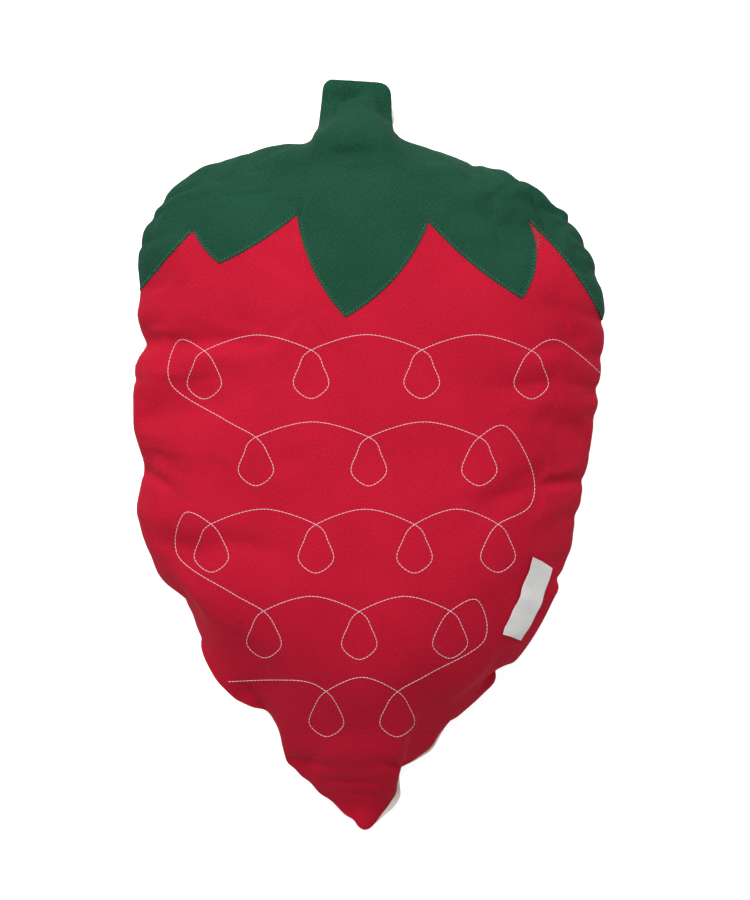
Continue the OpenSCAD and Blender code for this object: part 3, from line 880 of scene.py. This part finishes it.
def seam_loop(cover):
    """The places of the seam in order, with the level direction to the inside, in millimetres."""
    bm = half_cover(cover, 0)
    rim, inward = seam_round(bm)
    order = [(v.co.copy(), way) for v, way in zip(rim, inward)]
    bm.free()
    return order


SEAM_THREAD, STITCH_INSIDE = 0.5, 2.5


def seam_thread(name, loop, way):
    """One thread of the lockstitched seam, on the turned-in allowance of a panel."""
    run = []
    for i, (place, inward) in enumerate(loop):
        lift, width = (CLOTH + 0.47, 1) if i % 2 else (CLOTH + 0.25, 0.75)
        run.append((place + inward * STITCH_INSIDE * turn_in(place) + Vector((0, 0, way * lift)), width))
    return threads(name, [run], SEAM_THREAD, closed=True)


# The turning gap: where it starts and ends, its stitches, and the frayed ends in it
GAP_SPAN, GAP_STITCHES = (22, 108), 12
FRAY_Y, FRAY_STEP, FRAY_ENDS = 60, 1.9, 9


def closing_stitches(loop):
    """Hand stitches over the seam on the left, where the cover was turned and filled, and frayed ends."""
    gap = [(p, inward) for p, inward in loop if p.x < 0 and GAP_SPAN[0] < p.y < GAP_SPAN[1]]
    gap.sort(key=lambda item: item[0].y)
    runs = []
    for k in range(GAP_STITCHES):
        i = round(k * (len(gap) - 2) / (GAP_STITCHES - 1))
        (p, inward), (q, _) = gap[i:i + 2]
        high, low = Vector((0, 0, 1.6)), Vector((0, 0, -1.6))
        runs.append([(p + inward * 0.6 + 2 * high, 0.6), (p - inward * 0.75 + high, 1),
                     (p.lerp(q, 0.5) - inward, 1), (q - inward * 0.75 + low, 1),
                     (q + inward * 0.6 + 2 * low, 0.6)])
    for k in range(FRAY_ENDS):
        p, _ = min(gap, key=lambda item: abs(item[0].y - (FRAY_Y + FRAY_STEP * k)))
        sway = noise.noise(Vector((k * 1.7, 0.3, 2.0)))
        base = p + Vector((0.4, 0, 2.2))
        runs.append([(base, 0.7), (base + Vector((-1.6, 1.0 + sway, 0.8)), 0.8),
                     (base + Vector((-2.6 - sway, 3.0 + 2 * sway, 0.6 + sway)), 0.7),
                     (base + Vector((-2.2 + sway, 5.0 + 3 * sway, 0.2)), 0.35)])
    return threads("closing_hand_stitches", runs, SEAM_THREAD)


# Materials

def node_group(name, inputs, outputs):
    """An empty shader node group with named sockets: numbers, apart from the place."""
    group = bpy.data.node_groups.new(name, "ShaderNodeTree")
    for way, labels in (("INPUT", inputs), ("OUTPUT", outputs)):
        for label in labels:
            kind = "NodeSocketVector" if label == "Place" else "NodeSocketFloat"
            group.interface.new_socket(label, in_out=way, socket_type=kind)
    return group, group.nodes.new("NodeGroupInput"), group.nodes.new("NodeGroupOutput")


def math_node(tree, operation, *values):
    node = tree.nodes.new("ShaderNodeMath")
    node.operation = operation
    for socket, value in zip(node.inputs, values):
        if isinstance(value, (int, float)):
            socket.default_value = value
        else:
            tree.links.new(value, socket)
    return node.outputs[0]


def noise_node(tree, place, scale, detail=2):
    node = tree.nodes.new("ShaderNodeTexNoise")
    node.inputs["Scale"].default_value = scale
    node.inputs["Detail"].default_value = detail
    tree.links.new(place, node.inputs["Vector"])
    return node.outputs[0]


def streaks(tree, place, scale):
    """Noise stretched by a scale for each axis."""
    stretch = tree.nodes.new("ShaderNodeVectorMath")
    stretch.operation = "MULTIPLY"
    stretch.inputs[1].default_value = scale
    tree.links.new(place, stretch.inputs[0])
    return noise_node(tree, stretch.outputs[0], 1)


def weave_group():
    """Twill: slanting ribs made of short floats, uneven threads, and a slow change of shade."""
    group, source, result = node_group(
        "woven_cloth", ("Place", "Pitch", "Slant"), ("Height", "Thread", "Mottle"))
    place, pitch, slant = source.outputs[:3]
    split = group.nodes.new("ShaderNodeSeparateXYZ")
    group.links.new(place, split.inputs[0])
    u = math_node(group, "DIVIDE", split.outputs[0], pitch)
    v = math_node(group, "DIVIDE", split.outputs[1], pitch)
    rib = math_node(group, "MULTIPLY_ADD", v, slant, u)
    rib = math_node(group, "SINE", math_node(group, "MULTIPLY", rib, 2 * math.pi))
    short = math_node(group, "SINE", math_node(group, "MULTIPLY", v, 2 * math.pi))
    height = math_node(group, "MULTIPLY_ADD", rib, 0.6, math_node(group, "MULTIPLY", short, 0.4))
    slub, warp = streaks(group, place, (420, 1100, 900)), streaks(group, place, (1100, 460, 900))
    thread = math_node(group, "MULTIPLY_ADD", warp, 0.5, math_node(group, "MULTIPLY", slub, 0.5))
    for value, socket in zip((height, thread, noise_node(group, place, 18, 3)), result.inputs):
        group.links.new(value, socket)
    return group


def twist_group():
    """Twisted thread: fine slanting bands, painted shade in the grooves between its plies, with some fuzz."""
    group, source, result = node_group("twisted_thread", ("Place",), ("Band", "Fuzz"))
    wave = group.nodes.new("ShaderNodeTexWave")
    wave.bands_direction = "DIAGONAL"
    wave.inputs["Scale"].default_value = 420
    wave.inputs["Distortion"].default_value = 2
    group.links.new(source.outputs[0], wave.inputs["Vector"])
    group.links.new(wave.outputs[1], result.inputs["Band"])
    group.links.new(noise_node(group, source.outputs[0], 1500), result.inputs["Fuzz"])
    return group


WEAVE, TWIST = weave_group(), twist_group()


def linear(r, g, b):
    """A colour as seen on a screen, from 0 to 255, as linear light."""
    screen = (r / 255, g / 255, b / 255)
    return (*(c / 12.92 if c <= 0.04045 else ((c + 0.055) / 1.055) ** 2.4 for c in screen), 1)


def new_material(name, roughness):
    material = bpy.data.materials.new(name)
    material.use_nodes = True
    shader = material.node_tree.nodes["Principled BSDF"]
    shader.inputs["Roughness"].default_value = roughness
    shader.inputs["Specular IOR Level"].default_value = 0.12
    return material, material.node_tree, shader


def ramp(tree, value, dark, light, low=0.3, high=0.7):
    node = tree.nodes.new("ShaderNodeValToRGB")
    for element, place, colour in zip(node.color_ramp.elements, (low, high), (dark, light)):
        element.position, element.color = place, colour
    tree.links.new(value, node.inputs[0])
    return node.outputs[0]


def cloth_material(name, dark, light, pitch, slant, bump, sheen):
    """Woven cloth: its shade goes from dark to light with the threads and the mottling, and with the twill's
    ribs: painted light on the ribs and painted shade in the grooves between them.
    """
    material, tree, shader = new_material(name, 0.85)
    place = tree.nodes.new("ShaderNodeUVMap")
    place.uv_map = "cloth"
    weave = tree.nodes.new("ShaderNodeGroup")
    weave.node_tree = WEAVE
    weave.inputs["Pitch"].default_value = pitch * MM
    weave.inputs["Slant"].default_value = slant
    tree.links.new(place.outputs[0], weave.inputs["Place"])
    shade = math_node(tree, "MULTIPLY_ADD", weave.outputs["Mottle"], 0.45,
                      math_node(tree, "MULTIPLY_ADD", weave.outputs["Thread"], 1.2, -0.325))
    # The ribs' height lightens the colour on the ribs and darkens it in the grooves: painted light and shade,
    # beside the bump below.
    shade = math_node(tree, "MULTIPLY_ADD", weave.outputs["Height"], 0.06, shade)
    tree.links.new(ramp(tree, shade, dark, light), shader.inputs["Base Color"])
    relief = tree.nodes.new("ShaderNodeBump")
    relief.inputs["Strength"].default_value = bump
    relief.inputs["Distance"].default_value = 0.15 * MM
    tree.links.new(math_node(tree, "MULTIPLY_ADD", weave.outputs["Thread"], 1.2, weave.outputs["Height"]),
                   relief.inputs["Height"])
    tree.links.new(relief.outputs[0], shader.inputs["Normal"])
    shader.inputs["Sheen Weight"].default_value = sheen
    shader.inputs["Sheen Roughness"].default_value = 0.5
    shader.inputs["Sheen Tint"].default_value = light
    return material


def twist_node(tree):
    place = tree.nodes.new("ShaderNodeTexCoord")
    twist = tree.nodes.new("ShaderNodeGroup")
    twist.node_tree = TWIST
    tree.links.new(place.outputs["Object"], twist.inputs["Place"])
    return twist


def thread_material(name, dark, light):
    """Twisted thread: its shade goes from dark to light with the fuzz, and with the bands, which are painted
    shade of the twist.
    """
    material, tree, shader = new_material(name, 0.6)
    twist = twist_node(tree)
    # The bands darken the colour where the grooves between the plies would be shaded: painted shade. The fuzz
    # is the thread's own unevenness.
    shade = math_node(tree, "MULTIPLY_ADD", twist.outputs["Fuzz"], 0.5,
                      math_node(tree, "MULTIPLY", twist.outputs["Band"], 0.5))
    tree.links.new(ramp(tree, shade, dark, light, 0.2, 0.8), shader.inputs["Base Color"])
    shader.inputs["Sheen Weight"].default_value = 0.1
    return material


def fibre_material(name, dark, light):
    """Loose fibre: its shade goes from dark to light with the fuzz."""
    material, tree, shader = new_material(name, 0.9)
    tree.links.new(ramp(tree, twist_node(tree).outputs["Fuzz"], dark, light), shader.inputs["Base Color"])
    return material


# Cloths: dark and light shade, pitch of the ribs in millimetres, their slant, strength of the relief, sheen
red_twill = cloth_material("red_twill", linear(178, 17, 43), linear(205, 24, 54), 0.8, 1, 0.35, 0.03)
green_twill = cloth_material("green_twill", linear(18, 64, 46), linear(33, 82, 61), 0.8, 1, 0.35, 0.03)
ecru_cotton = cloth_material("ecru_cotton", linear(230, 223, 215), linear(248, 243, 237), 0.6, 0, 0.4, 0.05)
label_tape = cloth_material("label_tape", linear(243, 242, 239), linear(252, 251, 249), 0.5, 0, 0.5, 0.02)
red_thread = thread_material("red_thread", linear(150, 22, 40), linear(205, 40, 62))
white_thread = thread_material("white_thread", linear(226, 202, 214), linear(247, 229, 240))
green_thread = thread_material("green_thread", linear(44, 90, 68), linear(92, 136, 111))
fibre_fill = fibre_material("fibre_fill", linear(225, 224, 220), linear(248, 247, 244))

cover = sew_cover()
start = places_of(cover.data) / MM
fill_cover(cover)
settle(cover, start)
calm(cover)
finer(cover)
press(cover)
draw_seam(cover)
stuffing = stuffed(cover)
front_panel = panel("front_cloth", cover, 0)
back_panel = panel("back_cloth", cover, 1)
cap = sewn_cap(cover)
front_face = Face(front_panel)
both_faces = Face(front_panel, cap)
seeds, seed_bobbin = seed_threads(front_face)
leaf_zigzag = zigzag(both_faces)
label = woven_label(front_face)
label_thread = label_stitches(label, front_face)
loop = seam_loop(cover)
needle = seam_thread("seam_needle", loop, 1)
bobbin = seam_thread("seam_bobbin", loop, -1)
closing = closing_stitches(loop)
bpy.data.objects.remove(cover)

# Each piece gets its material, and takes the place of its CAD node
for piece, material, slot, node in (
        (stuffing, fibre_fill, "fibre_fill", "stuffing"),
        (front_panel, red_twill, "red_twill", "front_panel"),
        (back_panel, ecru_cotton, "ecru_cotton", "back_panel"),
        (cap, green_twill, "green_twill", "leaf_cap"),
        (needle, red_thread, "red_thread", "seam_needle_thread"),
        (bobbin, red_thread, "red_thread", "seam_bobbin_thread"),
        (closing, white_thread, "white_thread", "closing_stitches"),
        (leaf_zigzag, green_thread, "green_thread", "leaf_zigzag"),
        (seeds, white_thread, "white_thread", "seed_thread"),
        (seed_bobbin, white_thread, "white_thread", "seed_bobbin_thread"),
        (label, label_tape, "label_tape", "woven_label"),
        (label_thread, white_thread, "white_thread", "label_stitches")):
    piece.data.materials.clear()
    piece.data.materials.append(material)
    for face in piece.data.polygons:
        face.use_smooth = True
        face.material_index = 0
    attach(piece, "root")
    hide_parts(node)
for piece, angle in ((front_panel, 70), (back_panel, 70), (cap, 50), (label, 50)):
    piece.data.set_sharp_from_angle(angle=math.radians(angle))


# Stage

FLOOR_HALF, FLOOR_Z = 6000, -0.5


def floor_material():
    """Pale floor: it takes the shadow, and looks white to the camera."""
    material, tree, shader = new_material("pale_floor", 1)
    shader.inputs["Base Color"].default_value = (0.8, 0.8, 0.8, 1)
    shader.inputs["Specular IOR Level"].default_value = 0
    path = tree.nodes.new("ShaderNodeLightPath")
    seen = math_node(tree, "MAXIMUM", path.outputs["Is Glossy Ray"], path.outputs["Is Transmission Ray"])
    seen = math_node(tree, "MAXIMUM", path.outputs["Is Camera Ray"], seen)
    pick = tree.nodes.new("ShaderNodeMixShader")
    tree.links.new(seen, pick.inputs[0])
    for socket, strength in zip(pick.inputs[1:], (0, 0.72)):
        glow = tree.nodes.new("ShaderNodeEmission")
        glow.inputs["Strength"].default_value = strength
        tree.links.new(glow.outputs[0], socket)
    total = tree.nodes.new("ShaderNodeAddShader")
    tree.links.new(shader.outputs[0], total.inputs[0])
    tree.links.new(pick.outputs[0], total.inputs[1])
    tree.links.new(total.outputs[0], tree.nodes["Material Output"].inputs[0])
    return material


bm = bmesh.new()
bmesh.ops.create_grid(bm, x_segments=1, y_segments=1, size=FLOOR_HALF)
bmesh.ops.translate(bm, verts=bm.verts, vec=(0, 0, FLOOR_Z))
floor = made("floor", bm)
floor.data.materials.append(floor_material())

world = bpy.data.worlds.new("studio")
scene.world = world
world.use_nodes = True
sky = world.node_tree
pick = sky.nodes.new("ShaderNodeMixShader")
path = sky.nodes.new("ShaderNodeLightPath")
sky.links.new(path.outputs["Is Camera Ray"], pick.inputs[0])
# The light that falls on the part, and the white that the camera sees
for node, strength, socket in ((sky.nodes["Background"], 0.37, pick.inputs[1]),
                               (sky.nodes.new("ShaderNodeBackground"), 1, pick.inputs[2])):
    node.inputs["Color"].default_value = (1, 1, 1, 1)
    node.inputs["Strength"].default_value = strength
    sky.links.new(node.outputs[0], socket)
sky.links.new(pick.outputs[0], sky.nodes["World Output"].inputs[0])

lamp = link("window", bpy.data.lights.new("window", "AREA"))
lamp.data.shape, lamp.data.size, lamp.data.energy = "SQUARE", 3.8, 268
lamp.location = (-0.8, 3.1, 4.2)
lamp.rotation_euler = (Vector((0, 0, 0.1)) - lamp.location).to_track_quat("-Z", "Y").to_euler()

camera = link("camera", bpy.data.cameras.new("camera"))
camera.location = (0.0048, 0.0036, SEAM_Z * MM + 3.0)
camera.data.lens = 150
camera.data.sensor_width = 36
scene.camera = camera
scene.view_settings.view_transform = "Standard"
